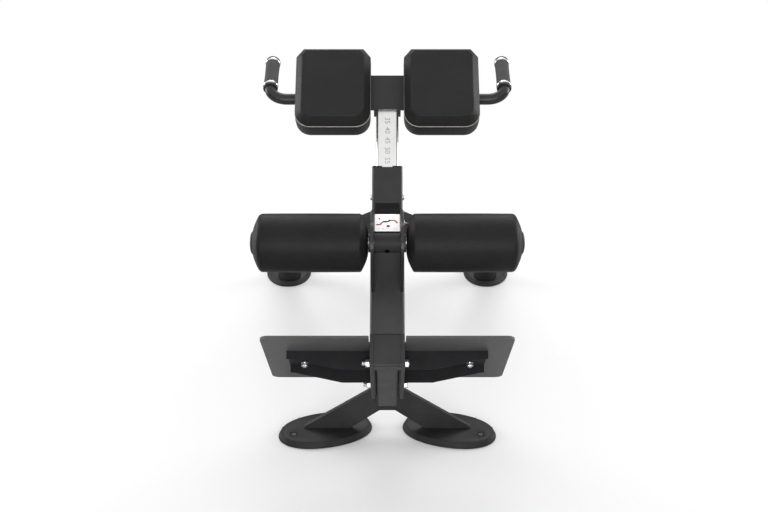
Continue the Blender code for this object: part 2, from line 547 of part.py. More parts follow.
# ---------------------------------------------------------------- handles
GRIP_X = 0.267
GRIP_DIR = Vector((0.0, 0.900, 0.436)).normalized()
GRIP_START = Vector((0, -0.1880 + DY, 0.8080))
hb = slope_point = Vector(BEAM_FOOT) + Vector((0, HB_S * math.cos(SLOPE) - HB_N * math.sin(SLOPE),
                                               HB_S * math.sin(SLOPE) + HB_N * math.cos(SLOPE)))
for sgn, tag in ((-1, "left"), (1, "right")):
    p0 = Vector((sgn * (ht + 0.0058), hb.y, hb.z))
    p1 = Vector((sgn * 0.228, hb.y, hb.z))
    p2 = Vector((sgn * GRIP_X, GRIP_START.y, GRIP_START.z))
    p3 = p2 + GRIP_DIR * 0.094
    corner_a, corner_b = p1 + Vector((sgn * 0.024, 0, 0)), p2 - GRIP_DIR * 0.016
    pts = [p0, p0.lerp(p1, 0.5)]
    for k in range(11):                              # the bend, as one cubic
        t = k / 10
        pts.append(p1 * (1 - t) ** 3 + corner_a * 3 * t * (1 - t) ** 2 + corner_b * 3 * t * t * (1 - t) + p2 * t ** 3)
    pts.append(p3)
    cu = bpy.data.curves.new("handle_" + tag, "CURVE")
    cu.dimensions, cu.bevel_depth, cu.bevel_resolution, cu.use_fill_caps = "3D", HB_R, 3, True
    sp = cu.splines.new("POLY")
    sp.points.add(len(pts) - 1)
    for q, p in zip(sp.points, pts):
        q.co = (*p, 1.0)
    guide = bpy.data.objects.new("guide_handle", cu)
    CUTTERS.objects.link(guide)
    bpy.context.view_layer.update()
    me = bpy.data.meshes.new_from_object(guide.evaluated_get(bpy.context.evaluated_depsgraph_get()))
    bpy.data.objects.remove(guide, do_unlink=True)
    bm = bmesh.new()
    bm.from_mesh(me)
    bmesh.ops.remove_doubles(bm, verts=bm.verts, dist=1e-6)
    bmesh.ops.recalc_face_normals(bm, faces=bm.faces)
    bm.to_mesh(me)
    bm.free()
    smooth(add("handle_" + tag, me, "paint"), 60)
    quat = GRIP_DIR.to_track_quat("Z", "Y").to_euler()

    ri = HB_R + GAP
    prof = [(0.0164, 0.0925), (0.0174, 0.0913), (0.0174, 0.0877), (0.0164, 0.0865), (0.0136, 0.0865), (0.0136, 0.0120),
            (0.0164, 0.0120), (0.0174, 0.0108), (0.0174, 0.0072), (0.0164, 0.0060), (ri, 0.0060), (ri, 0.0925)]
    turned("grip_sleeve_" + tag, prof, "chrome", None, p2, quat, 20, True)
    prof = [(0.0158, 0.0862), (0.0163, 0.0857), (0.0163, 0.0128), (0.0158, 0.0123), (0.0139, 0.0123), (0.0139, 0.0862)]
    turned("grip_" + tag, prof, "rubber", None, p2, quat, 20, True)
    cap = [(0.0, 0.1010), (0.0110, 0.1006), (0.0152, 0.0990), (0.0165, 0.0962), (0.0165, 0.0943), (0.0, 0.0943)]
    turned("grip_cap_" + tag, cap, "rubber", None, p2, quat, 20)

# ---------------------------------------------------------------- height lock
X_AXIS = (0, math.pi / 2, 0)
pin_at = (0, LOCK_S, LOCK_N)
turned("pin_housing", [(0.0060, 0.0372), (0.0060, hs + GAP), (0.0043, hs + GAP), (0.0043, 0.0372)],
       "chrome", slope, pin_at, X_AXIS, 20, True)
shaft = turned("pin_shaft", [(0.0, 0.0376), (0.0040, 0.0376), (0.0040, 0.0262), (0.0032, 0.0253), (0.0, 0.0253)],
               "chrome", slope, pin_at, X_AXIS, 20)
# the lever: a thin rod that leans down the beam, with a round tip
LEVER = Vector((0.888, -0.460, 0.0)).normalized()
lever_turn = LEVER.to_track_quat("Z", "Y").to_euler()
lever_at = Vector((0.0365, LOCK_S, LOCK_N))
weld(shaft, turned("join_rod", [(0.0, 0.0068), (0.0017, 0.0068), (0.0017, 0.0), (0.0, 0.0)], None, slope, lever_at,
                   lever_turn, 16))
turned("pin_knob", [(0.0, 0.0146), (0.0016, 0.0143), (0.0027, 0.0132), (0.0031, 0.0112), (0.0030, 0.0086), (0.0024, 0.0071),
                    (0.0, 0.0071)], "red", slope, lever_at, lever_turn, 20)
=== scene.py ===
import math

import bmesh
import bpy
from mathutils import Matrix, Vector


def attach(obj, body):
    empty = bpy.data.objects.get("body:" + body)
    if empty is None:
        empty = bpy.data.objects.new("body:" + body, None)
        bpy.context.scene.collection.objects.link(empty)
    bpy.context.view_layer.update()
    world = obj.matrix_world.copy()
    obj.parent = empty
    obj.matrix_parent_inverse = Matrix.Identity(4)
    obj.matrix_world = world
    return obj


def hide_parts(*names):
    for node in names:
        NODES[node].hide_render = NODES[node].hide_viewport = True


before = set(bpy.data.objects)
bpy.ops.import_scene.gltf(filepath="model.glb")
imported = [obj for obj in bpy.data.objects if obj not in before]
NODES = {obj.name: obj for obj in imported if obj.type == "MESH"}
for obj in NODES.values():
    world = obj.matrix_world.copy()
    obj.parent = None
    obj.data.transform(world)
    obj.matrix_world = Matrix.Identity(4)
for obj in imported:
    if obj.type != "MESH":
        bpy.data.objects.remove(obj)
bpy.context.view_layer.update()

# ------------------------------------------------------------------ the part's own measures
C45 = math.sqrt(0.5)
DY = -0.0176
FOOT_Y, FOOT_Z = -0.6695 + DY, 0.3563            # lower end of the beam's top face
UP = Vector((0, C45, C45))                  # up the beam
OUT = Vector((0, -C45, C45))                # out of its top face


def S(x, s, n):
    """Beam coordinates (across, up the beam, out of its top face) to world."""
    return Vector((x, FOOT_Y + C45 * (s - n), FOOT_Z + C45 * (s + n)))


AXLE_S, AXLE_N = 0.219, 0.130
PAD_X, PAD_W, PAD_S0, PAD_S1 = 0.1205, 0.166, 0.530, 0.723


# ------------------------------------------------------------------ materials
def nodes_of(name):
    m = bpy.data.materials.new(name)
    m.use_nodes = True
    nt = m.node_tree
    b = nt.nodes["Principled BSDF"]
    tc = nt.nodes.new("ShaderNodeTexCoord")
    return m, nt, b, tc


def noise(nt, tc, scale, detail=4.0, rough=0.55, coords="Object"):
    n = nt.nodes.new("ShaderNodeTexNoise")
    n.inputs["Scale"].default_value = scale
    n.inputs["Detail"].default_value = detail
    n.inputs["Roughness"].default_value = rough
    nt.links.new(tc.outputs[coords], n.inputs["Vector"])
    return n


def ramp(nt, src, stops):
    r = nt.nodes.new("ShaderNodeValToRGB")
    el = r.color_ramp.elements
    while len(el) > 1:
        el.remove(el[-1])
    el[0].position, el[0].color = stops[0][0], (*stops[0][1], 1)
    for p, c in stops[1:]:
        e = el.new(p)
        e.color = (*c, 1)
    nt.links.new(src, r.inputs["Fac"])
    return r


def remap(nt, src, a, b, lo=0.0, hi=1.0):
    m = nt.nodes.new("ShaderNodeMapRange")
    m.inputs["From Min"].default_value, m.inputs["From Max"].default_value = lo, hi
    m.inputs["To Min"].default_value, m.inputs["To Max"].default_value = a, b
    nt.links.new(src, m.inputs["Value"])
    return m


def bump(nt, b, height, strength, distance, chain=None):
    n = nt.nodes.new("ShaderNodeBump")
    n.inputs["Strength"].default_value = strength
    n.inputs["Distance"].default_value = distance
    nt.links.new(height, n.inputs["Height"])
    if chain is not None:
        nt.links.new(chain.outputs["Normal"], n.inputs["Normal"])
    nt.links.new(n.outputs["Normal"], b.inputs["Normal"])
    return n


def tone(nt, b, src, dark, light, lo=0.35, hi=0.65):
    r = ramp(nt, src, [(lo, dark), (hi, light)])
    nt.links.new(r.outputs["Color"], b.inputs["Base Color"])
    return r


def powder_coat(name, dark=(0.022, 0.022, 0.0235), light=(0.029, 0.029, 0.031), rough=0.38, spec=0.40):
    """Satin black powder coat: orange peel with a finer grain in it."""
    m, nt, b, tc = nodes_of(name)
    big = noise(nt, tc, 22.0, 3.0)
    tone(nt, b, big.outputs["Fac"], dark, light)
    mr = remap(nt, big.outputs["Fac"], rough - 0.05, rough + 0.06, 0.3, 0.7)
    nt.links.new(mr.outputs["Result"], b.inputs["Roughness"])
    peel = noise(nt, tc, 620.0, 2.0)
    grain = noise(nt, tc, 2300.0, 1.0)
    first = bump(nt, b, peel.outputs["Fac"], 0.22, 0.0006)
    bump(nt, b, grain.outputs["Fac"], 0.16, 0.0003, first)
    b.inputs["Specular IOR Level"].default_value = spec
    return m


def grain_leather(name, dark=(0.0075, 0.0075, 0.0080), light=(0.0112, 0.0112, 0.0120), scale=430.0, rough=0.40, depth=0.60, spec=0.32):
    """Fine-grain synthetic leather: rounded cells with pores, and softer broad creases."""
    m, nt, b, tc = nodes_of(name)
    v = nt.nodes.new("ShaderNodeTexVoronoi")
    v.feature = "DISTANCE_TO_EDGE"
    v.inputs["Scale"].default_value = scale
    wob = noise(nt, tc, scale * 0.35, 2.0)
    mix = nt.nodes.new("ShaderNodeMix")
    mix.data_type = "RGBA"
    mix.inputs["Factor"].default_value = 0.004
    nt.links.new(tc.outputs["Object"], mix.inputs["A"])
    nt.links.new(wob.outputs["Color"], mix.inputs["B"])
    nt.links.new(mix.outputs["Result"], v.inputs["Vector"])
    cell = ramp(nt, v.outputs["Distance"], [(0.0, (0, 0, 0)), (0.10, (0.75, 0.75, 0.75)), (0.40, (1, 1, 1))])
    broad = noise(nt, tc, 11.0, 3.0)
    tone(nt, b, broad.outputs["Fac"], dark, light)
    fine = noise(nt, tc, scale * 3.2, 2.0)
    rr = remap(nt, fine.outputs["Fac"], rough - 0.06, rough + 0.08, 0.3, 0.7)
    nt.links.new(rr.outputs["Result"], b.inputs["Roughness"])
    soft = bump(nt, b, broad.outputs["Fac"], 0.10, 0.004)
    one = bump(nt, b, cell.outputs["Color"], depth, 0.0005, soft)
    bump(nt, b, fine.outputs["Fac"], 0.12, 0.0002, one)
    b.inputs["Specular IOR Level"].default_value = spec
    return m


def rubber(name, dark=(0.016, 0.016, 0.017), light=(0.026, 0.026, 0.027), rough=0.62, scale=900.0):
    m, nt, b, tc = nodes_of(name)
    big = noise(nt, tc, 30.0, 4.0)
    tone(nt, b, big.outputs["Fac"], dark, light)
    n2 = noise(nt, tc, scale, 3.0)
    rr = remap(nt, n2.outputs["Fac"], rough - 0.07, rough + 0.07, 0.3, 0.7)
    nt.links.new(rr.outputs["Result"], b.inputs["Roughness"])
    bump(nt, b, n2.outputs["Fac"], 0.20, 0.0004)
    b.inputs["Specular IOR Level"].default_value = 0.38
    return m


def chrome(name, colour=(0.86, 0.86, 0.87), rough=0.10, brushed=False):
    m, nt, b, tc = nodes_of(name)
    b.inputs["Metallic"].default_value = 1.0
    cloud = noise(nt, tc, 35.0, 4.0)
    tone(nt, b, cloud.outputs["Fac"], tuple(c * 0.95 for c in colour), colour)
    if brushed:
        mp = nt.nodes.new("ShaderNodeMapping")
        mp.inputs["Scale"].default_value = (1.0, 0.02, 0.02)
        nt.links.new(tc.outputs["Object"], mp.inputs["Vector"])
        st = noise(nt, tc, 1600.0, 2.0)
        nt.links.new(mp.outputs["Vector"], st.inputs["Vector"])
    else:
        st = noise(nt, tc, 260.0, 3.0)
    rr = remap(nt, st.outputs["Fac"], rough - 0.03, rough + 0.05, 0.3, 0.7)
    nt.links.new(rr.outputs["Result"], b.inputs["Roughness"])
    bump(nt, b, st.outputs["Fac"], 0.03, 0.0002)
    return m


def plastic(name, dark, light, rough=0.42, spec=0.45, scale=700.0, depth=0.10):
    m, nt, b, tc = nodes_of(name)
    big = noise(nt, tc, 40.0, 3.0)
    tone(nt, b, big.outputs["Fac"], dark, light)
    n2 = noise(nt, tc, scale, 2.0)
    rr = remap(nt, n2.outputs["Fac"], rough - 0.04, rough + 0.06, 0.3, 0.7)
    nt.links.new(rr.outputs["Result"], b.inputs["Roughness"])
    bump(nt, b, n2.outputs["Fac"], depth, 0.0003)
    b.inputs["Specular IOR Level"].default_value = spec
    return m


PAINT = powder_coat("black_powder_coat")
# beam and post: the same black powder coat with its base colour lifted, painted light
BEAM_PAINT_LIT = powder_coat("beam_powder_coat_lit", (0.033, 0.033, 0.035), (0.041, 0.041, 0.043), 0.40, 0.45)
POST_PAINT_LIT = powder_coat("post_powder_coat_lit", (0.042, 0.042, 0.044), (0.050, 0.050, 0.052), 0.42, 0.34)
PAINT_LOW = powder_coat("tube_powder_coat", (0.020, 0.020, 0.0215), (0.026, 0.026, 0.028), 0.52, 0.20)
LEG_PAINT = powder_coat("leg_powder_coat", (0.018, 0.018, 0.0195), (0.024, 0.024, 0.026), 0.60, 0.10)
# footplate: the same black powder coat with its base colour lifted well above the frame's, painted light from the floor
# below
PLATE_PAINT_LIT = powder_coat("plate_powder_coat_lit", (0.078, 0.078, 0.080), (0.090, 0.090, 0.093), 0.42)
LEATHER = grain_leather("fine_grain_leather")
SIDE_LEATHER = grain_leather("boxing_leather", (0.015, 0.015, 0.016), (0.021, 0.021, 0.023), 680.0, 0.44, 0.30, 0.36)
ROLL_LEATHER = grain_leather("roller_leather", (0.0080, 0.0080, 0.0084), (0.0125, 0.0125, 0.0135), 420.0, 0.42, 0.50, 0.19)
RUBBER = rubber("foot_rubber", (0.009, 0.009, 0.0095), (0.016, 0.016, 0.0165), 0.66)
GRIP = rubber("grip_rubber", (0.050, 0.050, 0.051), (0.066, 0.066, 0.068), 0.66, 1200.0)
CHROME = chrome("bright_chrome")
ZINC = chrome("zinc_plate", (0.90, 0.90, 0.91), 0.32)
TUBE_CHROME = chrome("tube_chrome", (0.93, 0.93, 0.935), 0.16, True)
STRIP = chrome("scale_strip", (0.98, 0.98, 0.97), 0.34, True)
BLACK_PLASTIC = plastic("moulded_plastic", (0.018, 0.018, 0.019), (0.030, 0.030, 0.031), 0.44)
LINER = plastic("liner_black", (0.0045, 0.0045, 0.0050), (0.0070, 0.0070, 0.0075), 0.50, 0.20)
LABEL = plastic("label_gloss", (0.0085, 0.0085, 0.0090), (0.0110, 0.0110, 0.0115), 0.34, 0.14, 900.0, 0.04)
CARD_GLOW = plastic("card_white_painted_glow", (0.93, 0.93, 0.93), (0.97, 0.97, 0.97), 0.40, 0.5, 500.0, 0.03)
# painted glow: the card's white emits light of its own, a brightness that stands in for lamp light it doesn't get
CARD_GLOW.node_tree.nodes["Principled BSDF"].inputs["Emission Color"].default_value = (1.0, 1.0, 1.0, 1)
CARD_GLOW.node_tree.nodes["Principled BSDF"].inputs["Emission Strength"].default_value = 0.55
ORANGE = plastic("print_orange", (0.72, 0.26, 0.08), (0.80, 0.31, 0.10), 0.5, 0.4, 500.0, 0.02)
RED = plastic("print_red", (0.60, 0.02, 0.02), (0.70, 0.035, 0.03), 0.45, 0.4, 500.0, 0.03)
# black print on the card; the same black also serves as painted shade in the post's gaps
BLACK_PRINT_AND_SHADE = plastic("print_black_and_painted_shade", (0.012, 0.012, 0.012), (0.02, 0.02, 0.02), 0.5, 0.4, 500.0, 0.02)
# near-black for painted shade where a hole's inside is dark
HOLE_SHADE_BLACK = plastic("hole_painted_shade", (0.0015, 0.0015, 0.0015), (0.0025, 0.0025, 0.0025), 0.8, 0.05)
GREY_INK = plastic("print_grey", (0.42, 0.42, 0.42), (0.50, 0.50, 0.50), 0.5, 0.4, 500.0, 0.02)
PIPING = plastic("cream_piping", (0.52, 0.49, 0.42), (0.62, 0.59, 0.51), 0.55, 0.35, 1500.0, 0.20)
FOOT_PAINT = powder_coat("foot_powder_coat", (0.012, 0.012, 0.013), (0.017, 0.017, 0.018), 0.45, 0.22)
PLUG = plastic("hole_plug_grey", (0.030, 0.030, 0.031), (0.042, 0.042, 0.043), 0.45, 0.35)
BACKING = rubber("backing_cloth", (0.012, 0.012, 0.012), (0.024, 0.024, 0.024), 0.85, 1600.0)
KNOB = plastic("knob_red", (0.55, 0.02, 0.015), (0.66, 0.04, 0.025), 0.38, 0.5, 600.0, 0.06)

LOOKS = [
    (("roller_axle", "through_bolt", "sleeve_screw", "footplate_screw", "pad_bolt", "pin_housing", "pin_shaft",
      "grip_sleeve"), CHROME),
    (("slide_tube",), TUBE_CHROME),
    (("pad_cushion", "roller_foam"), LEATHER),
    (("rear_foot_pad", "front_foot_pad"), RUBBER),
    (("grip_left", "grip_right", "grip_cap"), GRIP),
    (("roller_core", "roller_cap", "slide_liner"), BLACK_PLASTIC),
    (("pad_board",), BACKING),
    (("placard",), CARD_GLOW),
    (("pin_knob",), KNOB),
    (("footplate_left", "footplate_right"), PLATE_PAINT_LIT),
    (("front_leg",), LEG_PAINT),
    (("main_beam",), BEAM_PAINT_LIT),
    (("base_post",), POST_PAINT_LIT),
    (("footplate_channel",), LEG_PAINT),
    (("slide_liner",), LINER),
]
for name, ob in NODES.items():
    mat = PAINT
    for starts, m in LOOKS:
        if name.startswith(starts):
            mat = m
    ob.data.materials.clear()
    ob.data.materials.append(mat)


# ------------------------------------------------------------------ mesh helpers
def new_object(name, bm, mat, angle=35.0, body=None):
    bmesh.ops.recalc_face_normals(bm, faces=bm.faces)
    me = bpy.data.meshes.new(name)
    bm.to_mesh(me)
    bm.free()
    ob = bpy.data.objects.new(name, me)
    bpy.context.scene.collection.objects.link(ob)
    me.materials.append(mat)
    me.shade_smooth()
    me.set_sharp_from_angle(angle=math.radians(angle))
    if body:
        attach(ob, body)
    return ob


def basis(origin, x, y, z):
    m = Matrix((x, y, z)).transposed().to_4x4()
    m.translation = origin
    return m


def spin(bm, profile, m, steps=64):
    """Turned shape about its own z, placed by the matrix m. The profile is (r, z); r of 0 closes it."""
    rings = []
    for r, z in profile:
        if r < 1e-6:
            rings.append([bm.verts.new(m @ Vector((0, 0, z)))])
        else:
            rings.append([bm.verts.new(m @ Vector((r * math.cos(2 * math.pi * k / steps),
                                                   r * math.sin(2 * math.pi * k / steps), z)))
                          for k in range(steps)])
    for a, b in zip(rings, rings[1:]):
        for k in range(steps):
            j = (k + 1) % steps
            if len(a) == 1 and len(b) == 1:
                continue
            if len(a) == 1:
                bm.faces.new((a[0], b[k], b[j]))
            elif len(b) == 1:
                bm.faces.new((a[k], b[0], a[j]))
            else:
                bm.faces.new((a[k], b[k], b[j], a[j]))
    return rings


def spin_closed(bm, profile, m, steps=64):
    rings = spin(bm, profile, m, steps)
    a, b = rings[-1], rings[0]
    for k in range(steps):
        j = (k + 1) % steps
        bm.faces.new((a[k], b[k], b[j], a[j]))


def arc(cx, cz, r, a0, a1, n):
    return [(cx + r * math.cos(math.radians(a0 + (a1 - a0) * k / n)),
             cz + r * math.sin(math.radians(a0 + (a1 - a0) * k / n))) for k in range(n + 1)]


def corner_loop(points, steps=8, per_edge=6):
    """Closed outline with corner radii, the same count of points for like outlines."""
    arcs = []
    n = len(points)
    for i, (u, v, r) in enumerate(points):
        p = Vector((u, v))
        a, b = Vector(points[i - 1][:2]), Vector(points[(i + 1) % n][:2])
        da, db = (a - p).normalized(), (b - p).normalized()
        half = da.angle(db) / 2
        t = r / math.tan(half)
        c = p + (da + db).normalized() * (r / math.sin(half))
        s, e = p + da * t - c, p + db * t - c
        total = s.angle_signed(e)
        arcs.append([c + Vector((s.x * math.cos(-total * k / steps) - s.y * math.sin(-total * k / steps),
                                 s.x * math.sin(-total * k / steps) + s.y * math.cos(-total * k / steps)))
                     for k in range(steps + 1)])
    out = []
    for i, arc_pts in enumerate(arcs):
        out += arc_pts
        nxt = arcs[(i + 1) % n][0]
        for k in range(1, per_edge):
            out.append(arc_pts[-1].lerp(nxt, k / per_edge))
    return out


def bridge(bm, a, b):
    for k in range(len(a)):
        j = (k + 1) % len(a)
        bm.faces.new((a[k], a[j], b[j], b[k]))


def box(bm, lo, hi, m, bevel=0.0, seg=2):
    r = bmesh.ops.create_cube(bm, size=1.0)
    vs = r["verts"]
    lo, hi = Vector(lo), Vector(hi)
    for v in vs:
        v.co = Vector((lo[i] + (v.co[i] + 0.5) * (hi[i] - lo[i]) for i in range(3)))
    if bevel:
        es = list({e for v in vs for e in v.link_edges})
        out = bmesh.ops.bevel(bm, geom=es, offset=bevel, segments=seg, profile=0.5, affect="EDGES")
        vs = list({v for f in out["faces"] for v in f.verts} | {v for v in vs if v.is_valid})
        allv = set()
        stack = [v for v in vs if v.is_valid]
        while stack:
            v = stack.pop()
            if v in allv:
                continue
            allv.add(v)
            stack += [e.other_vert(v) for e in v.link_edges]
        vs = list(allv)
    for v in vs:
        v.co = m @ v.co
    return vs


def prism(bm, loop, z0, z1, m, bevel=0.0, steps=1):
    """Flat plate of an outline, with its top edge rounded over."""
    rings = []
    c = sum(loop, Vector((0, 0))) / len(loop)

    def ring(inset, z):
        pts = []
        n = len(loop)
        for i, p in enumerate(loop):
            a, b = loop[i - 1], loop[(i + 1) % n]
            t = (b - a).normalized()
            nrm = Vector((-t.y, t.x))
            if nrm.dot(c - p) < 0:
                nrm = -nrm
            q = p + nrm * inset
            pts.append(bm.verts.new(m @ Vector((q.x, q.y, z))))
        return pts

    rings.append(ring(0.0, z0))
    rings.append(ring(0.0, z1 - bevel))
    if bevel:
        for k in range(1, steps + 1):
            a = math.pi / 2 * k / steps
            rings.append(ring(bevel * (1 - math.cos(a)), z1 - bevel + bevel * math.sin(a)))
    for a, b in zip(rings, rings[1:]):
        bridge(bm, a, b)
    bm.faces.new(list(reversed(rings[0])))
    bm.faces.new(rings[-1])


def sweep(bm, pts, r, m=None, sides=32, cap=True):
    """Round tube along points, with its frame carried along so that it doesn't twist."""
    n = len(pts)
    rings = []
    ref = None
    for i, p in enumerate(pts):
        t = (pts[min(i + 1, n - 1)] - pts[max(i - 1, 0)]).normalized()
        if ref is None:
            ref = t.orthogonal().normalized()
        ref = (ref - t * ref.dot(t)).normalized()
        bi = t.cross(ref)
        rings.append([bm.verts.new(p + (ref * math.cos(2 * math.pi * k / sides) + bi * math.sin(2 * math.pi * k / sides)) * r)
                      for k in range(sides)])
    for a, b in zip(rings, rings[1:]):
        bridge(bm, a, b)
    if cap:
        bm.faces.new(rings[0])
        bm.faces.new(list(reversed(rings[-1])))
    return rings


SLOPE = basis(S(0, 0, 0), Vector((1, 0, 0)), UP, OUT)       # x across, y up the beam, z out


# ------------------------------------------------------------------ hip pads
def pad_loop(side, bottom, top, r_low, cut=1.0):
    """Outline of a pad, drawn in by its own amount at the sides, the bottom and the top."""
    w = PAD_W / 2 - side
    s0, s1 = PAD_S0 + bottom, PAD_S1 - top
    cx, cy = 0.016 * cut, 0.021 * cut
    return corner_loop([(-w, s0, r_low), (w, s0, r_low), (w, s1 - cy, 0.0035), (w - cx, s1, 0.0035),
                        (-w + cx, s1, 0.0035), (-w, s1 - cy, 0.0035)], 8, 7)


def shell(bm, rows, cx, cap_low=True):
    """Closed skin through outlines: rows are (loop, height)."""
    rings = []
    for loop, n in rows:
        rings.append([bm.verts.new(S(cx + p.x, p.y, n)) for p in loop])
    for a, b in zip(rings, rings[1:]):
        bridge(bm, a, b)
    if cap_low:
        bm.faces.new(rings[0])
    return rings


def crown(bm, ring, loop, cx, n0, rise, centre, levels=(0.90, 0.74, 0.55, 0.34, 0.14)):
    """The top panel: rings that shrink to the middle and rise a little."""
    last = ring
    for f in levels:
        row = [bm.verts.new(S(cx + centre.x + (p.x - centre.x) * f, centre.y + (p.y - centre.y) * f,
                              n0 + rise * (1 - f * f))) for p in loop]
        bridge(bm, last, row)
        last = row
    bm.faces.new(last)


for sgn, tag in ((-1, "left"), (1, "right")):
    cx = sgn * PAD_X
    node = "pad_cushion_" + tag
    # top cover: wall, rolled edge, sloping band and raised panel
    bm = bmesh.new()
    rows = [
        (pad_loop(0.0040, 0.0040, 0.0040, 0.030), 0.0408),
        (pad_loop(0.0006, 0.0006, 0.0006, 0.0334), 0.0412),
        (pad_loop(0.0000, 0.0000, 0.0000, 0.034), 0.0422),
        (pad_loop(-0.0003, -0.0003, -0.0003, 0.0343), 0.0445),
        (pad_loop(0.0001, 0.0001, 0.0001, 0.034), 0.0470),
        (pad_loop(0.0006, 0.0008, 0.0006, 0.0335), 0.0482),
        (pad_loop(0.0014, 0.0016, 0.0014, 0.0327, 0.98), 0.0491),
        (pad_loop(0.0056, 0.0060, 0.0050, 0.0290, 0.84), 0.0542),
        (pad_loop(0.0098, 0.0104, 0.0086, 0.0255, 0.70), 0.0592),
        (pad_loop(0.0134, 0.0142, 0.0117, 0.0223, 0.58), 0.0636),
        (pad_loop(0.0142, 0.0150, 0.0124, 0.0216, 0.56), 0.0643),
        (pad_loop(0.0151, 0.0159, 0.0132, 0.0208, 0.54), 0.0647),
        (pad_loop(0.0164, 0.0172, 0.0145, 0.0200, 0.52), 0.0649),
    ]
    rings = shell(bm, rows, cx)
    crown(bm, rings[-1], rows[-1][0], cx, 0.0649, 0.0008, Vector((0, (PAD_S0 + PAD_S1) / 2 + 0.005)))
    top = new_object("pad_cover_" + tag, bm, LEATHER, 50, "carriage")
    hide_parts(node)
    # boxing: the side band below the piping, gathered under the board's edge
    bm = bmesh.new()
    rows = [
        (pad_loop(0.0150, 0.0150, 0.0150, 0.020), -0.0012),
        (pad_loop(0.0060, 0.0060, 0.0060, 0.028), -0.0026),
        (pad_loop(0.0026, 0.0026, 0.0026, 0.0315), -0.0022),
        (pad_loop(0.0008, 0.0008, 0.0008, 0.0332), -0.0006),
        (pad_loop(0.0001, 0.0001, 0.0001, 0.0339), 0.0020),
        (pad_loop(-0.0004, -0.0004, -0.0004, 0.0344), 0.0080),
        (pad_loop(-0.0008, -0.0008, -0.0008, 0.0348), 0.0190),
        (pad_loop(-0.0005, -0.0005, -0.0005, 0.0345), 0.0300),
        (pad_loop(0.0000, 0.0000, 0.0000, 0.034), 0.0365),
        (pad_loop(0.0006, 0.0006, 0.0006, 0.0334), 0.0388),
        (pad_loop(0.0020, 0.0020, 0.0020, 0.032), 0.0396),
        (pad_loop(0.0060, 0.0060, 0.0060, 0.028), 0.0399),
    ]
    rings = shell(bm, rows, cx, cap_low=False)
    bm.faces.new(list(reversed(rings[-1])))
    bm.faces.new(rings[0])
    side = new_object("pad_boxing_" + tag, bm, SIDE_LEATHER, 50, "carriage")
    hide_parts(node)
    # piping all round in the seam
    bm = bmesh.new()
    loop = pad_loop(0.0004, 0.0004, 0.0004, 0.0336)
    pts = [S(cx + p.x, p.y, 0.0402) for p in loop]
    rings = []
    for i, p in enumerate(pts):
        t = (pts[(i + 1) % len(pts)] - pts[i - 1]).normalized()
        a = OUT
        b = t.cross(a).normalized()
        rings.append([bm.verts.new(p + (a * math.cos(math.tau * k / 12) + b * math.sin(math.tau * k / 12)) * 0.00110)
                      for k in range(12)])
    for i in range(len(rings)):
        bridge(bm, rings[i], rings[(i + 1) % len(rings)])
    pipe = new_object("pad_piping_" + tag, bm, PIPING, 60, "carriage")

    # stitches beside the piping, one slim bead each
    bm = bmesh.new()
    fine = []
    for i in range(len(pts)):
        a, b = pts[i], pts[(i + 1) % len(pts)]
        k = max(1, int((b - a).length / 0.0012))
        fine += [a.lerp(b, j / k) for j in range(k)]
    run, nxt = 0.0, 0.0
    centre = S(cx, (PAD_S0 + PAD_S1) / 2, 0.0402)
    for i in range(len(fine)):
        a, b = fine[i], fine[(i + 1) % len(fine)]
        run += (b - a).length
        if run < nxt:
            continue
        nxt = run + 0.0052
        t = (b - a).normalized()
        o = t.cross(OUT).normalized()
        if o.dot(a - centre) < 0:
            o = -o
        mid = a - OUT * 0.0036 + o * 0.0001
        m = basis(mid, t, OUT, o)
        vs = box(bm, (-0.0015, -0.00022, -0.0002), (0.0015, 0.00022, 0.00032), m, 0.0001, 1)
    st = new_object("pad_stitches_" + tag, bm, BLACK_PLASTIC, 60, "carriage")


# ------------------------------------------------------------------ leg rollers
for sgn, tag in ((-1, "left"), (1, "right")):
    ax = basis(S(0, AXLE_S, AXLE_N), Vector((0, 0, -sgn)), Vector((0, 1, 0)), Vector((sgn, 0, 0)))
    body = tag + "_roller"
    R = 0.059
    bm = bmesh.new()
    prof = [(0.0172, 0.2700), (0.0210, 0.2699), (0.0235, 0.2696), (0.0285, 0.2686), (0.0335, 0.2671), (0.0386, 0.2652),
            (0.0436, 0.2630), (0.0486, 0.2607), (0.0530, 0.2583), (0.0556, 0.2565), (0.0574, 0.2545), (0.0584, 0.2522),
            (0.0589, 0.2500), (R - 0.0001, 0.2470), (R, 0.2380), (R + 0.0002, 0.2000), (R + 0.0003, 0.1550), (R + 0.0002, 0.1100),
            (R, 0.0700), (R - 0.0001, 0.0580), (0.0588, 0.0552), (0.0583, 0.0532), (0.0570, 0.0519), (0.0545, 0.0505),
            (0.0495, 0.0479), (0.0440, 0.0452), (0.0385, 0.0428), (0.0330, 0.0410), (0.0275, 0.0395), (0.0215, 0.0385),
            (0.0172, 0.0383)]
    spin_closed(bm, prof, ax, 96)
    foam = new_object("roller_cover_" + tag, bm, ROLL_LEATHER, 60, body)
    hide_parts("roller_foam_" + tag)
    # the cover's two round seams
    bm = bmesh.new()
    for z, r in ((0.2508, R - 0.0007), (0.0548, R - 0.0007)):
        ring = [(r + 0.0006 * math.cos(math.tau * k / 8), z + 0.0006 * math.sin(math.tau * k / 8)) for k in range(8)]
        spin_closed(bm, ring, ax, 96)
    new_object("roller_seams_" + tag, bm, ROLL_LEATHER, 60, body)
    bm = bmesh.new()
    prof = [(0.0, 0.2757), (0.005, 0.27565), (0.010, 0.2753), (0.0145, 0.2747), (0.0180, 0.2739), (0.0205, 0.2729),
            (0.0222, 0.2717), (0.0229, 0.2708), (0.0228, 0.2703), (0.0, 0.2703)]
    spin(bm, prof, ax, 64)
    cap = new_object("roller_end_cap_" + tag, bm, BLACK_PLASTIC, 50, body)
    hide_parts("roller_cap_" + tag)

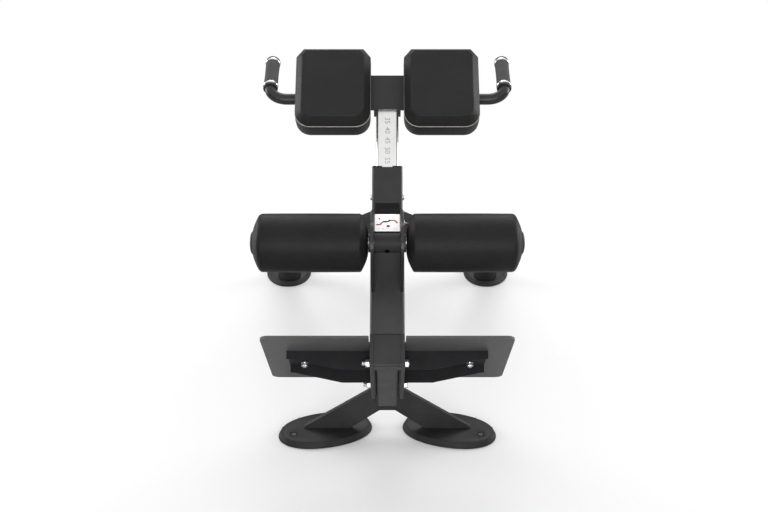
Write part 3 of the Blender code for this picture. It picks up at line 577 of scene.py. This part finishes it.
# ------------------------------------------------------------------ axle tube between the plates
axx = basis(S(0, AXLE_S, AXLE_N), Vector((0, 0, -1)), Vector((0, 1, 0)), Vector((1, 0, 0)))
bm = bmesh.new()
spin_closed(bm, [(0.0196, 0.0270), (0.0200, 0.0266), (0.0200, -0.0266), (0.0196, -0.0270), (0.0104, -0.0270),
                 (0.0104, 0.0270)], axx, 64)
t = new_object("axle_tube", bm, PAINT_LOW, 40, "root")
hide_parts("axle_sleeve")


# drain hole in the axle tube: a near-black disc set in its skin, painted shade for the dark inside of the hole
bm = bmesh.new()
hd = Vector((0.0, -0.80, -0.60))
mh = basis(S(0, AXLE_S, AXLE_N) + hd * 0.0199, Vector((1, 0, 0)), hd.cross(Vector((1, 0, 0))), hd)
spin(bm, [(0.0, -0.0016), (0.0058, -0.0016), (0.0058, 0.0002), (0.0, 0.0003)], mh, 24)
new_object("axle_tube_hole_painted_shade", bm, HOLE_SHADE_BLACK, 40, "root")


# ------------------------------------------------------------------ feet
def oval(a, b, n=96, p=2.12):
    out = []
    for k in range(n):
        t = math.tau * k / n
        c, s = math.cos(t), math.sin(t)
        out.append(Vector((math.copysign(abs(c) ** (2 / p) * a, c), math.copysign(abs(s) ** (2 / p) * b, s))))
    return out


def oval_body(bm, m, rows, hx, hy, bore_rows):
    """Oval body through outlines (inset, z), first and last closed round one bolt hole (r, z)."""
    n = 96
    rings = [[bm.verts.new(m @ Vector((p.x, p.y, z))) for p in oval(0.1152 - inset, 0.0706 - inset, n)]
             for inset, z in rows]
    for a, b in zip(rings, rings[1:]):
        bridge(bm, a, b)
    bore = [[bm.verts.new(m @ Vector((hx + r * math.cos(math.tau * k / 32), hy + r * math.sin(math.tau * k / 32), z)))
             for k in range(32)] for r, z in bore_rows]
    for a, b in zip(bore, bore[1:]):
        bridge(bm, a, b)
    for outer, inner in ((rings[0], bore[0]), (rings[-1], bore[-1])):
        edges = [bm.edges.get((outer[k], outer[(k + 1) % n])) for k in range(n)]
        edges += [bm.edges.get((inner[k], inner[(k + 1) % 32])) for k in range(32)]
        bmesh.ops.triangle_fill(bm, edges=edges, use_beauty=True)


FEET = (("rear", "left", -0.150, -0.359, 16.35, -0.080, -0.010), ("rear", "right", 0.150, -0.359, -16.35, 0.080, -0.010),
        ("front", "left", -0.316, 0.588, 94.5, 0.082, 0.0), ("front", "right", 0.316, 0.588, -94.5, -0.082, 0.0))
for end, side, x, y, ang, hx, hy in FEET:
    m = Matrix.Translation((x, y + DY, 0)) @ Matrix.Rotation(math.radians(ang), 4, "Z")
    bm = bmesh.new()
    oval_body(bm, m, [(0.0012, 0.0), (0.0002, 0.0006), (0.0, 0.0016), (0.0002, 0.0030), (0.0016, 0.0058), (0.0034, 0.0090),
                      (0.0051, 0.0120), (0.0060, 0.0138), (0.0066, 0.0144), (0.0073, 0.0146), (0.0079, 0.0144),
                      (0.0081, 0.0136), (0.0081, 0.0101)], hx, hy, ((0.0078, 0.0), (0.0078, 0.0101)))
    pad = new_object("%s_foot_rubber_%s" % (end, side), bm, RUBBER, 40, "root")
    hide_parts("%s_foot_pad_%s" % (end, side))
    bm = bmesh.new()
    oval_body(bm, m, [(0.0088, 0.0103), (0.0083, 0.0108), (0.0083, 0.0138), (0.0086, 0.0143), (0.0092, 0.0145)], hx, hy,
              ((0.0078, 0.0103), (0.0078, 0.0140), (0.0084, 0.0145)))
    plate = new_object("%s_foot_steel_%s" % (end, side), bm, FOOT_PAINT, 40, "root")
    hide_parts("%s_foot_%s" % (end, side))
    # moulded ticks across the rubber's rim
    bm = bmesh.new()
    for deg in (-158, -118, -62, -22, 22, 62, 118, 158):
        a = math.radians(deg)
        o = oval(0.1152 - 0.0062, 0.0706 - 0.0062, 360)[int(deg) % 360]
        q = Vector((math.cos(a) / 0.11, math.sin(a) / 0.066, 0)).normalized()
        mm = m @ basis(Vector((o.x, o.y, 0.0144)), q, Vector((-q.y, q.x, 0)), Vector((0, 0, 1)))
        box(bm, (-0.0018, -0.0009, -0.0004), (0.0016, 0.0009, 0.0007), mm, 0.0003, 1)
    new_object("%s_foot_ticks_%s" % (end, side), bm, RUBBER, 40, "root")
    # the socket head of the floor bolt, sunk in the hole
    bm = bmesh.new()
    spin(bm, [(0.0, 0.0020), (0.0062, 0.0020), (0.0062, 0.0134), (0.0056, 0.0141), (0.0030, 0.0142), (0.0, 0.0142)],
         m @ Matrix.Translation((hx, hy, 0)), 32)
    new_object("%s_foot_hole_plug_%s" % (end, side), bm, PLUG, 40, "root")

# ------------------------------------------------------------------ handles
HB_S, HB_N, HB_R = 0.634, -0.0219, 0.0125
GRIP_X = 0.267
GDIR = Vector((0.0, 0.900, 0.436)).normalized()
hb = S(0, HB_S, HB_N)
for sgn, tag in ((-1, "left"), (1, "right")):
    p0 = Vector((sgn * 0.0308, hb.y, hb.z))
    p1 = Vector((sgn * 0.228, hb.y, hb.z))
    p2 = Vector((sgn * GRIP_X, -0.1880 + DY, 0.8080))
    p3 = p2 + GDIR * 0.094
    ca, cb = p1 + Vector((sgn * 0.024, 0, 0)), p2 - GDIR * 0.016
    pts = [p0.lerp(p1, k / 8) for k in range(8)]
    for k in range(25):
        t = k / 24
        pts.append(p1 * (1 - t) ** 3 + ca * 3 * t * (1 - t) ** 2 + cb * 3 * t * t * (1 - t) + p2 * t ** 3)
    pts += [p2.lerp(p3, k / 4) for k in range(1, 5)]
    bm = bmesh.new()
    sweep(bm, pts, HB_R, sides=40)
    h = new_object("handle_tube_" + tag, bm, PAINT, 50, "carriage")
    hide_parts("handle_" + tag)
    g = basis(p2, Vector((1, 0, 0)), GDIR.cross(Vector((1, 0, 0))).normalized(), GDIR)
    # chromed collars at both ends of the grip
    bm = bmesh.new()
    for z0, z1 in ((0.0060, 0.0121), (0.0864, 0.0925)):
        spin_closed(bm, [(0.0128, z0), (0.0166, z0), (0.0173, z0 + 0.0008), (0.0175, (z0 + z1) / 2), (0.0173, z1 - 0.0008),
                         (0.0166, z1), (0.0128, z1)], g, 56)
    c = new_object("grip_collars_" + tag, bm, CHROME, 45, "carriage")
    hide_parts("grip_sleeve_" + tag)
    # black ring that the lower collar stands on
    bm = bmesh.new()
    spin_closed(bm, [(0.0126, -0.0005), (0.0160, -0.0003), (0.0167, 0.0006), (0.0168, 0.0048), (0.0162, 0.0057), (0.0126, 0.0058)],
                g, 56)
    new_object("grip_ring_" + tag, bm, BLACK_PLASTIC, 45, "carriage")
    # the rubber grip: waisted, with fine rings along it
    bm = bmesh.new()
    prof = [(0.0132, 0.0123), (0.0160, 0.0125), (0.0165, 0.0133)]
    n = 46
    for k in range(n + 1):
        u = k / n
        z = 0.0148 + u * (0.0838 - 0.0148)
        waist = 0.0005 * math.sin(math.pi * u)
        prof.append((0.0163 - waist - (0.00022 if k % 2 else 0.0), z))
    prof += [(0.0165, 0.0852), (0.0160, 0.0860), (0.0132, 0.0862)]
    spin_closed(bm, prof, g, 56)
    r = new_object("grip_rubber_" + tag, bm, GRIP, 60, "carriage")
    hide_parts("grip_" + tag)
    bm = bmesh.new()
    spin(bm, [(0.0, 0.0943), (0.0158, 0.0943), (0.0165, 0.0948), (0.0166, 0.0958), (0.0163, 0.0973), (0.0153, 0.0989),
              (0.0132, 0.1001), (0.0098, 0.1008), (0.0054, 0.1011), (0.0, 0.1012)], g, 56)
    e = new_object("grip_end_" + tag, bm, GRIP, 50, "carriage")
    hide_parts("grip_cap_" + tag)


# ------------------------------------------------------------------ fasteners
def hex_head(bm, m, r, z0, z1):
    """Hexagon with its outer corners turned off."""
    rows = [(1.0, z0), (1.0, z1 - r * 0.16), (0.90, z1)]
    rings = []
    for f, z in rows:
        ring = []
        for k in range(24):
            a = math.tau * k / 24
            sector = (a + math.pi / 6) % (math.pi / 3) - math.pi / 6
            hexr = r * math.cos(math.pi / 6) / math.cos(sector)
            rr = hexr if f == 1.0 else min(hexr, r * math.cos(math.pi / 6) * 0.985)
            ring.append(bm.verts.new(m @ Vector((rr * math.cos(a), rr * math.sin(a), z))))
        rings.append(ring)
    for a, b in zip(rings, rings[1:]):
        bridge(bm, a, b)
    bm.faces.new(list(reversed(rings[0])))
    bm.faces.new(rings[-1])


for (s, n), tag in (((0.018, -0.044), "upper"), ((0.018, -0.215), "lower")):
    m = basis(S(0, s, n), UP, OUT, Vector((1, 0, 0)))
    bm = bmesh.new()
    spin(bm, [(0.0, -0.0533), (0.0042, -0.0533), (0.0050, -0.0525)]
         + [(0.0050 - (0.0004 if k % 2 else 0.0), -0.0521 + k * 0.0005) for k in range(12)]
         + [(0.0050, -0.0458), (0.0050, 0.0390), (0.0, 0.0390)], m, 32)
    for a, b in ((0.0366, 0.0380), (-0.0380, -0.0366)):
        spin_closed(bm, [(0.0054, a), (0.0083, a), (0.0087, (a + b) / 2), (0.0083, b), (0.0054, b)], m, 40)
    hex_head(bm, m, 0.0085, 0.0380, 0.0453)
    mm = m @ Matrix.Rotation(math.pi, 4, "X")
    hex_head(bm, mm, 0.0085, 0.0380, 0.0462)
    b = new_object("frame_bolt_" + tag, bm, ZINC, 30, "root")
    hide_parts("through_bolt_" + tag)

# footplate screws: shaft, boss, washer and nut
for sgn, tag in ((-1, "left"), (1, "right")):
    m = basis(S(sgn * 0.1793, 0, -0.1320), OUT, Vector((1, 0, 0)), UP)
    bm = bmesh.new()
    spin(bm, [(0.0, 0.0335), (0.0030, 0.0335), (0.0036, 0.0341), (0.0036, 0.0550), (0.0, 0.0550)], m, 28)
    spin_closed(bm, [(0.0038, 0.0427), (0.0076, 0.0427), (0.0079, 0.0434), (0.0076, 0.0442), (0.0038, 0.0442)], m, 40)
    spin_closed(bm, [(0.0038, 0.0444), (0.0055, 0.0444), (0.0055, 0.0545), (0.0038, 0.0545)], m, 32)
    hex_head(bm, m @ Matrix.Translation((0, 0, 0.0783)) @ Matrix.Rotation(math.pi, 4, "X"), 0.0076, 0.0358, 0.0425)
    b = new_object("footplate_bolt_" + tag, bm, ZINC, 30, "root")
    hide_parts("footplate_screw_" + tag)

# dark strips in the gaps between the post and its side plates: painted shade, black sheets standing in for the shadow
# in these gaps
for sgn, tag in ((-1, "left"), (1, "right")):
    bm = bmesh.new()
    a, b = sorted((sgn * 0.0253, sgn * 0.0282))
    box(bm, (a, 0.0010, -0.2380), (b, 0.0340, -0.0040), SLOPE, 0.0003, 1)
    new_object("post_gap_shade_strip_" + tag, bm, BLACK_PRINT_AND_SHADE, 40, "root")

for sgn, tag in ((-1, "left"), (1, "right")):
    m = basis(S(0, 0.3966, -0.040), Vector((0, 0, -sgn)), Vector((0, 1, 0)), Vector((sgn, 0, 0)))
    bm = bmesh.new()
    spin(bm, [(0.0, 0.0298), (0.0030, 0.0298), (0.0030, 0.0337), (0.0059, 0.0338), (0.0060, 0.0348), (0.0055, 0.0365),
              (0.0042, 0.0379), (0.0025, 0.0384), (0.0021, 0.0374), (0.0, 0.0372)], m, 32)
    b = new_object("button_screw_" + tag, bm, ZINC, 35, "root")
    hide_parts("sleeve_screw_" + tag)

# ------------------------------------------------------------------ height lock
m = basis(S(0, 0.328, -0.0195), Vector((0, 0, -1)), Vector((0, 1, 0)), Vector((1, 0, 0)))
bm = bmesh.new()
spin_closed(bm, [(0.0044, 0.0338), (0.0060, 0.0338), (0.0060, 0.0366), (0.0056, 0.0372), (0.0044, 0.0372)], m, 32)
b = new_object("lock_barrel", bm, CHROME, 30, "root")
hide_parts("pin_housing")
LEVER = (Vector((1, 0, 0)) * 0.888 - UP * 0.460).normalized()
lev = basis(S(0.0365, 0.328, -0.0195), OUT, LEVER.cross(OUT), LEVER)
bm = bmesh.new()
spin(bm, [(0.0, 0.0253), (0.0030, 0.0253), (0.0040, 0.0262), (0.0040, 0.0370), (0.0034, 0.0377), (0.0, 0.0378)], m, 32)
spin(bm, [(0.0, 0.0), (0.0017, 0.0), (0.0017, 0.0069), (0.0, 0.0069)], lev, 24)
b = new_object("lock_shaft", bm, CHROME, 30, "lock_pin")
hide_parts("pin_shaft")
bm = bmesh.new()
spin(bm, [(0.0, 0.0071), (0.0022, 0.0071), (0.0028, 0.0079), (0.0031, 0.0096), (0.0031, 0.0114), (0.0028, 0.0130),
          (0.0021, 0.0141), (0.0010, 0.0146), (0.0, 0.0147)], lev, 40)
b = new_object("lock_knob", bm, KNOB, 50, "lock_pin")
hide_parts("pin_knob")


# ------------------------------------------------------------------ label panel and card
def rrect(x0, x1, y0, y1, r):
    return corner_loop([(x0, y0, r), (x1, y0, r), (x1, y1, r), (x0, y1, r)], 6, 2)


bm = bmesh.new()
prism(bm, rrect(-0.0268, 0.0268, 0.2900, 0.3490, 0.0012), 0.0001, 0.0003, SLOPE, 0.0001)
prism(bm, rrect(-0.0268, 0.0268, 0.3502, 0.3665, 0.0012), -0.0027, -0.0025, SLOPE, 0.0001)
new_object("label_panel", bm, LABEL, 40, "root")
CY0, CY1 = 0.2985, 0.3380
bm = bmesh.new()
prism(bm, rrect(-0.0268, 0.0268, CY0, CY1, 0.0018), 0.0003, 0.0020, SLOPE, 0.0003, 2)
card = new_object("instruction_card", bm, CARD_GLOW, 40, "root")
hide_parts("placard")


def flat(bm, pts, z=0.00202, thick=0.00012):
    """A printed shape: a very thin plate just above the card."""
    lo = [bm.verts.new(SLOPE @ Vector((x, y, z - 0.0001))) for x, y in pts]
    hi = [bm.verts.new(SLOPE @ Vector((x, y, z + thick))) for x, y in pts]
    bridge(bm, lo, hi)
    bm.faces.new(list(reversed(lo)))
    bm.faces.new(hi)


def bar(cx, cy, length, width, deg):
    a = math.radians(deg)
    c, s = math.cos(a), math.sin(a)
    return [(cx + u * c - v * s, cy + u * s + v * c) for u, v in
            ((-length / 2, -width / 2), (length / 2, -width / 2), (length / 2, width / 2), (-length / 2, width / 2))]


def disc(cx, cy, r, n=20):
    return [(cx + r * math.cos(math.tau * k / n), cy + r * math.sin(math.tau * k / n)) for k in range(n)]


# plain motifs of the card: a row of blocks over a stepped line, with two dots
bm = bmesh.new()
for x, y, l, d in ((-0.0195, 0.3135, 0.0090, 0), (-0.0125, 0.3170, 0.0090, 46), (0.0100, 0.3236, 0.0090, 0),
                   (0.0188, 0.3202, 0.0100, -48)):
    flat(bm, bar(x, y, l, 0.0034, d))
new_object("card_orange", bm, ORANGE, 40, "root")
bm = bmesh.new()
flat(bm, bar(-0.0045, 0.3204, 0.0100, 0.0036, 0))
flat(bm, bar(0.0035, 0.3222, 0.0070, 0.0034, 40), 0.00205)
new_object("card_black", bm, BLACK_PRINT_AND_SHADE, 40, "root")
bm = bmesh.new()
flat(bm, bar(0.0020, 0.3100, 0.0072, 0.0046, 0))
flat(bm, disc(-0.0170, 0.3270, 0.0019))
new_object("card_red", bm, RED, 40, "root")
bm = bmesh.new()
for k in range(5):
    flat(bm, bar(-0.0180 + 0.0090 * k, 0.3040, 0.0055, 0.0006, 0))
for k in range(3):
    flat(bm, bar(-0.0130 + 0.0130 * k, 0.3330, 0.0085, 0.0006, 0))
new_object("card_grey", bm, GREY_INK, 40, "root")

# ------------------------------------------------------------------ scale strip and plain numbers on the slide tube
TT = -0.0097
bm = bmesh.new()
prism(bm, rrect(-0.0204, 0.0204, 0.2500, 0.5960, 0.0010), TT + 0.00002, TT + 0.00015, SLOPE, 0.00004)
new_object("scale_strip", bm, STRIP, 40, "carriage")
bm = bmesh.new()
for sx in (-1, 1):
    a, b = sorted((sx * 0.0207, sx * 0.0219))
    box(bm, (a, 0.2500, TT - 0.0008), (b, 0.5960, TT + 0.00025), SLOPE)
new_object("scale_borders", bm, BLACK_PRINT_AND_SHADE, 40, "carriage")
for k in range(1, 13):
    cu = bpy.data.curves.new("scale_number_%d" % k, "FONT")
    cu.body = str(30 + 5 * (13 - k))
    cu.size, cu.extrude, cu.align_x, cu.align_y = 0.0165, 0.00003, "CENTER", "CENTER"
    tmp = bpy.data.objects.new("scale_number_tmp", cu)
    bpy.context.scene.collection.objects.link(tmp)
    bpy.context.view_layer.update()
    me = bpy.data.meshes.new_from_object(tmp.evaluated_get(bpy.context.evaluated_depsgraph_get()))
    bpy.data.objects.remove(tmp, do_unlink=True)
    me.transform(SLOPE @ Matrix.Translation((0.0, 0.2600 + 0.0250 * (k + 0.5), TT + 0.00020)) @ Matrix.Rotation(-math.pi / 2, 4, "Z"))
    ob = bpy.data.objects.new("scale_number_%d" % k, me)
    bpy.context.scene.collection.objects.link(ob)
    me.materials.clear()
    me.materials.append(GREY_INK)
    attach(ob, "carriage")

# black plug in the slide tube's upper end
bm = bmesh.new()
vs = box(bm, (-0.0217, 0.6560, -0.0793), (0.0217, 0.6722, -0.0127), SLOPE, 0.0016, 2)
vs = box(bm, (-0.0249, 0.6722, -0.0822), (0.0249, 0.6752, -0.0098), SLOPE, 0.0012, 2)
new_object("tube_end_plug", bm, BLACK_PLASTIC, 40, "carriage")

# ------------------------------------------------------------------ floor, light, camera
me = bpy.data.meshes.new("floor")
bm = bmesh.new()
bmesh.ops.create_grid(bm, x_segments=1, y_segments=1, size=2.2)
bm.to_mesh(me)
bm.free()
floor = bpy.data.objects.new("floor", me)
floor.location = (0, 0, -0.0004)
bpy.context.scene.collection.objects.link(floor)
fm, fnt, fb, ftc = nodes_of("floor_pale")
fb.inputs["Base Color"].default_value = (0.80, 0.80, 0.80, 1)
fb.inputs["Roughness"].default_value = 0.85
fb.inputs["Specular IOR Level"].default_value = 0.1
# the floor fades out round the bench
reach = fnt.nodes.new("ShaderNodeVectorMath")
reach.operation = "LENGTH"
fnt.links.new(ftc.outputs["Object"], reach.inputs[0])
fade = fnt.nodes.new("ShaderNodeMapRange")
fade.interpolation_type = "SMOOTHSTEP"
fade.inputs["From Min"].default_value, fade.inputs["From Max"].default_value = 0.95, 1.75
fnt.links.new(reach.outputs["Value"], fade.inputs["Value"])
clear = fnt.nodes.new("ShaderNodeBsdfTransparent")
edge = fnt.nodes.new("ShaderNodeMixShader")
fnt.links.new(fade.outputs["Result"], edge.inputs[0])
fnt.links.new(fb.outputs["BSDF"], edge.inputs[1])
fnt.links.new(clear.outputs["BSDF"], edge.inputs[2])
# painted reflection: glossy rays see the floor as a darker grey ground than it is, so that edges keep a dark outline
ground = fnt.nodes.new("ShaderNodeBsdfDiffuse")
ground.inputs["Color"].default_value = (0.42, 0.42, 0.42, 1)
ray = fnt.nodes.new("ShaderNodeLightPath")
pick = fnt.nodes.new("ShaderNodeMixShader")
fnt.links.new(ray.outputs["Is Glossy Ray"], pick.inputs[0])
fnt.links.new(edge.outputs["Shader"], pick.inputs[1])
fnt.links.new(ground.outputs["BSDF"], pick.inputs[2])
fnt.links.new(pick.outputs["Shader"], fnt.nodes["Material Output"].inputs["Surface"])
me.materials.append(fm)

world = bpy.data.worlds.new("studio")
bpy.context.scene.world = world
world.use_nodes = True
wnt = world.node_tree
bg = wnt.nodes["Background"]
bg.inputs["Color"].default_value = (1.0, 1.0, 1.0, 1)
bg.inputs["Strength"].default_value = 1.0
room = wnt.nodes.new("ShaderNodeBackground")
geo = wnt.nodes.new("ShaderNodeTexCoord")
sep = wnt.nodes.new("ShaderNodeSeparateXYZ")
wnt.links.new(geo.outputs["Generated"], sep.inputs["Vector"])
rise = ramp(wnt, sep.outputs["Z"], [(0.0, (0.12, 0.12, 0.12)), (0.15, (0.25, 0.25, 0.25)), (0.40, (0.60, 0.60, 0.60)), (0.68, (0.95, 0.95, 0.95)), (0.86, (0.95, 0.95, 0.95)), (1.0, (0.80, 0.80, 0.80))])
wnt.links.new(rise.outputs["Color"], room.inputs["Color"])
room.inputs["Strength"].default_value = 1.0
path = wnt.nodes.new("ShaderNodeLightPath")
both = wnt.nodes.new("ShaderNodeMixShader")
wnt.links.new(path.outputs["Is Camera Ray"], both.inputs[0])
wnt.links.new(room.outputs["Background"], both.inputs[1])
wnt.links.new(bg.outputs["Background"], both.inputs[2])
wnt.links.new(both.outputs["Shader"], wnt.nodes["World Output"].inputs["Surface"])
bpy.context.scene.view_settings.view_transform = "Standard"


def area(name, loc, aim, size, power, size_y=None):
    li = bpy.data.lights.new(name, "AREA")
    li.energy = power
    li.size = size
    if size_y:
        li.shape, li.size_y = "RECTANGLE", size_y
    ob = bpy.data.objects.new(name, li)
    ob.location = loc
    ob.rotation_euler = (Vector(aim) - Vector(loc)).to_track_quat("-Z", "Y").to_euler()
    bpy.context.scene.collection.objects.link(ob)
    return ob


area("side_left", (-2.9, 0.9, 1.10), (0, -0.2, 0.5), 1.5, 45)
area("side_right", (2.9, 0.9, 1.10), (0, -0.2, 0.5), 1.5, 45)
area("front", (0.0, -3.4, 1.1), (0, -0.4, 0.45), 1.2, 45)
area("back", (0.0, 3.4, 3.6), (0, 0.4, 0.0), 2.6, 60)

cam_data = bpy.data.cameras.new("camera")
cam_data.lens, cam_data.sensor_width = 51.5625, 36.0
cam_data.shift_x = -0.0043
cam = bpy.data.objects.new("camera", cam_data)
cam.location = (0.0, -2.6445 + DY, 1.4604)
cam.rotation_euler = (math.radians(66.5), 0, 0)
bpy.context.scene.collection.objects.link(cam)
bpy.context.scene.camera = cam
